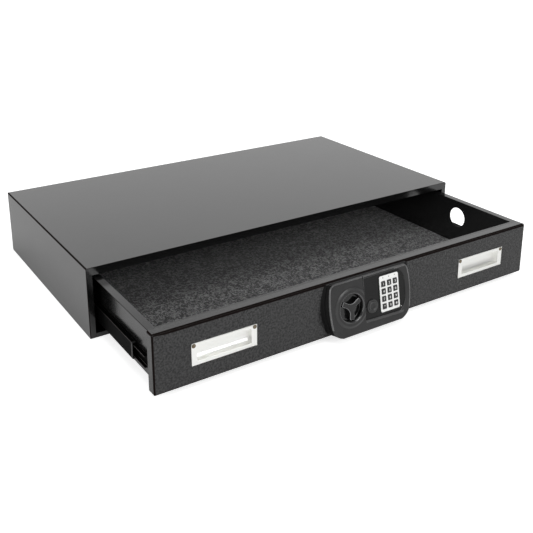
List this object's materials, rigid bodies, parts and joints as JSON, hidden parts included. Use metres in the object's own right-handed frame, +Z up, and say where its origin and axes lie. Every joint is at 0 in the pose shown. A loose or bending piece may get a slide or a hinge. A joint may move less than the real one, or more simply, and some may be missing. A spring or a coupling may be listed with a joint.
{
  "type": "under-bed safe",
  "caption": "Low, wide steel cabinet safe with a full-width drawer on ball slides, recessed pulls and a sloping electronic lock with knob and keypad.",
  "frame": {"origin": "middle of the cabinet's underside", "axes": "+X to the right seen from the front, +Y to the back, +Z up; the drawer pulls out along -Y"},
  "size_m": [1.016, 0.8695, 0.16],
  "materials": {
    "cabinet_paint": "fine textured black powder coat, satin",
    "drawer_paint": "fine textured black powder coat, satin",
    "slide_black": "black zinc-plated rolled steel",
    "rubber": "moulded, matt",
    "ball_steel": "polished steel",
    "felt": "needled charcoal felt",
    "handle_chrome": "bright nickel, softly polished",
    "screw_steel": "bronzed steel",
    "housing_plastic": "satin moulded black",
    "gloss_black": "gloss moulded black",
    "zinc": "zinc plated",
    "white_plastic": "satin white",
    "key_plastic": "satin black with white digits",
    "board_green": "solder mask",
    "battery_shell": "printed sleeve",
    "lead_red": "soft insulation"
  },
  "bodies": {
    "cabinet": {"cabinet_shell": "cabinet_paint", "cabinet_floor": "cabinet_paint", "cabinet_back": "cabinet_paint", "slide_bracket_left": "cabinet_paint", "slide_bracket_right": "cabinet_paint", "cabinet_slide_member_left": "slide_black", "cabinet_slide_member_right": "slide_black"},
    "middle_left": {"middle_slide_member_left": "slide_black", "slide_bumper_left": "rubber"},
    "middle_right": {"middle_slide_member_right": "slide_black", "slide_bumper_right": "rubber"},
    "outer_cage_left": {"outer_ball_cage_left": "ball_steel"},
    "outer_cage_right": {"outer_ball_cage_right": "ball_steel"},
    "inner_cage_left": {"inner_ball_cage_left": "ball_steel"},
    "inner_cage_right": {"inner_ball_cage_right": "ball_steel"},
    "drawer": {"drawer_front": "drawer_paint", "drawer_tray": "drawer_paint", "felt_liner": "felt", "drawer_slide_member_left": "slide_black", "drawer_slide_member_right": "slide_black", "handle_left": "handle_chrome", "handle_right": "handle_chrome", "handle_screw_left_1": "screw_steel", "handle_screw_left_2": "screw_steel", "handle_screw_right_1": "screw_steel", "handle_screw_right_2": "screw_steel", "lock_base": "housing_plastic", "lock_cover": "housing_plastic", "bolt_guide": "zinc", "solenoid_body": "slide_black", "plunger_spring": "ball_steel", "keypad_plate": "white_plastic", "key_mat": "rubber", "circuit_board": "board_green", "key_cylinder": "zinc", "battery_holder": "gloss_black", "battery": "battery_shell", "battery_door_track": "gloss_black", "battery_lead": "lead_red"},
    "knob": {"knob": "gloss_black", "knob_spindle": "zinc", "cam_disc": "zinc"},
    "bolts": {"bolt_plate": "zinc"},
    "plunger": {"solenoid_plunger": "ball_steel"},
    "key_1": {"key_1": "key_plastic"},
    "key_2": {"key_2": "key_plastic"},
    "key_3": {"key_3": "key_plastic"},
    "key_4": {"key_4": "key_plastic"},
    "key_5": {"key_5": "key_plastic"},
    "key_6": {"key_6": "key_plastic"},
    "key_7": {"key_7": "key_plastic"},
    "key_8": {"key_8": "key_plastic"},
    "key_9": {"key_9": "key_plastic"},
    "key_clear": {"key_clear": "key_plastic"},
    "key_0": {"key_0": "key_plastic"},
    "key_enter": {"key_enter": "key_plastic"},
    "override_cap": {"override_cap": "housing_plastic"},
    "key_plug": {"key_plug": "zinc"},
    "battery_door": {"battery_door": "gloss_black"}
  },
  "joints": [
    {"name": "middle_slide_left", "type": "slide", "parent": "cabinet", "child": "middle_left", "axis": [0, -1, 0], "range_m": [-0.225, 0]},
    {"name": "drawer_slide", "type": "slide", "parent": "middle_left", "child": "drawer", "axis": [0, -1, 0], "range_m": [-0.055, 0.17]},
    {"name": "middle_slide_right", "type": "slide", "parent": "cabinet", "child": "middle_right", "axis": [0, -1, 0], "range_m": [-0.225, 0]},
    {"name": "outer_cage_slide_left", "type": "slide", "parent": "cabinet", "child": "outer_cage_left", "axis": [0, -1, 0], "range_m": [-0.1125, 0]},
    {"name": "outer_cage_slide_right", "type": "slide", "parent": "cabinet", "child": "outer_cage_right", "axis": [0, -1, 0], "range_m": [-0.1125, 0]},
    {"name": "inner_cage_slide_left", "type": "slide", "parent": "middle_left", "child": "inner_cage_left", "axis": [0, -1, 0], "range_m": [-0.0275, 0.085]},
    {"name": "inner_cage_slide_right", "type": "slide", "parent": "middle_right", "child": "inner_cage_right", "axis": [0, -1, 0], "range_m": [-0.0275, 0.085]},
    {"name": "knob_turn", "type": "hinge", "parent": "drawer", "child": "knob", "pos_m": [-0.054, -0.58037, 0.07529], "axis": [0, 0.9862, -0.1657], "range_deg": [0, 60]},
    {"name": "bolt_slide", "type": "slide", "parent": "drawer", "child": "bolts", "axis": [0, 0, -1], "range_m": [0, 0.00912]},
    {"name": "plunger_slide", "type": "slide", "parent": "drawer", "child": "plunger", "axis": [0, 0, 1], "range_m": [0, 0.0045], "deforming": ["plunger_spring"]},
    {"name": "key_1_press", "type": "slide", "parent": "drawer", "child": "key_1", "axis": [0, 0.9862, -0.1657], "range_m": [0, 0.0008], "stiffness_N_per_m": 300},
    {"name": "key_2_press", "type": "slide", "parent": "drawer", "child": "key_2", "axis": [0, 0.9862, -0.1657], "range_m": [0, 0.0008], "stiffness_N_per_m": 300},
    {"name": "key_3_press", "type": "slide", "parent": "drawer", "child": "key_3", "axis": [0, 0.9862, -0.1657], "range_m": [0, 0.0008], "stiffness_N_per_m": 300},
    {"name": "key_4_press", "type": "slide", "parent": "drawer", "child": "key_4", "axis": [0, 0.9862, -0.1657], "range_m": [0, 0.0008], "stiffness_N_per_m": 300},
    {"name": "key_5_press", "type": "slide", "parent": "drawer", "child": "key_5", "axis": [0, 0.9862, -0.1657], "range_m": [0, 0.0008], "stiffness_N_per_m": 300},
    {"name": "key_6_press", "type": "slide", "parent": "drawer", "child": "key_6", "axis": [0, 0.9862, -0.1657], "range_m": [0, 0.0008], "stiffness_N_per_m": 300},
    {"name": "key_7_press", "type": "slide", "parent": "drawer", "child": "key_7", "axis": [0, 0.9862, -0.1657], "range_m": [0, 0.0008], "stiffness_N_per_m": 300},
    {"name": "key_8_press", "type": "slide", "parent": "drawer", "child": "key_8", "axis": [0, 0.9862, -0.1657], "range_m": [0, 0.0008], "stiffness_N_per_m": 300},
    {"name": "key_9_press", "type": "slide", "parent": "drawer", "child": "key_9", "axis": [0, 0.9862, -0.1657], "range_m": [0, 0.0008], "stiffness_N_per_m": 300},
    {"name": "key_clear_press", "type": "slide", "parent": "drawer", "child": "key_clear", "axis": [0, 0.9862, -0.1657], "range_m": [0, 0.0008], "stiffness_N_per_m": 300},
    {"name": "key_0_press", "type": "slide", "parent": "drawer", "child": "key_0", "axis": [0, 0.9862, -0.1657], "range_m": [0, 0.0008], "stiffness_N_per_m": 300},
    {"name": "key_enter_press", "type": "slide", "parent": "drawer", "child": "key_enter", "axis": [0, 0.9862, -0.1657], "range_m": [0, 0.0008], "stiffness_N_per_m": 300},
    {"name": "cap_pull", "type": "slide", "parent": "drawer", "child": "override_cap", "axis": [0, -0.9862, 0.1657], "range_m": [0, 0.03]},
    {"name": "key_turn", "type": "hinge", "parent": "drawer", "child": "key_plug", "pos_m": [0.001, -0.58216, 0.06464], "axis": [0, -0.9862, 0.1657], "range_deg": [0, 90]},
    {"name": "battery_door_slide", "type": "slide", "parent": "drawer", "child": "battery_door", "axis": [1, 0, 0], "range_m": [0, 0.062]}
  ],
  "couplings": [
    {"joint": "middle_slide_right", "follows": "middle_slide_left", "ratio": 1},
    {"joint": "outer_cage_slide_left", "follows": "middle_slide_left", "ratio": 0.5},
    {"joint": "outer_cage_slide_right", "follows": "middle_slide_left", "ratio": 0.5},
    {"joint": "inner_cage_slide_left", "follows": "drawer_slide", "ratio": 0.5},
    {"joint": "inner_cage_slide_right", "follows": "drawer_slide", "ratio": 0.5},
    {"joint": "knob_turn", "follows": "bolt_slide", "rad_per_m": 114.75}
  ]
}
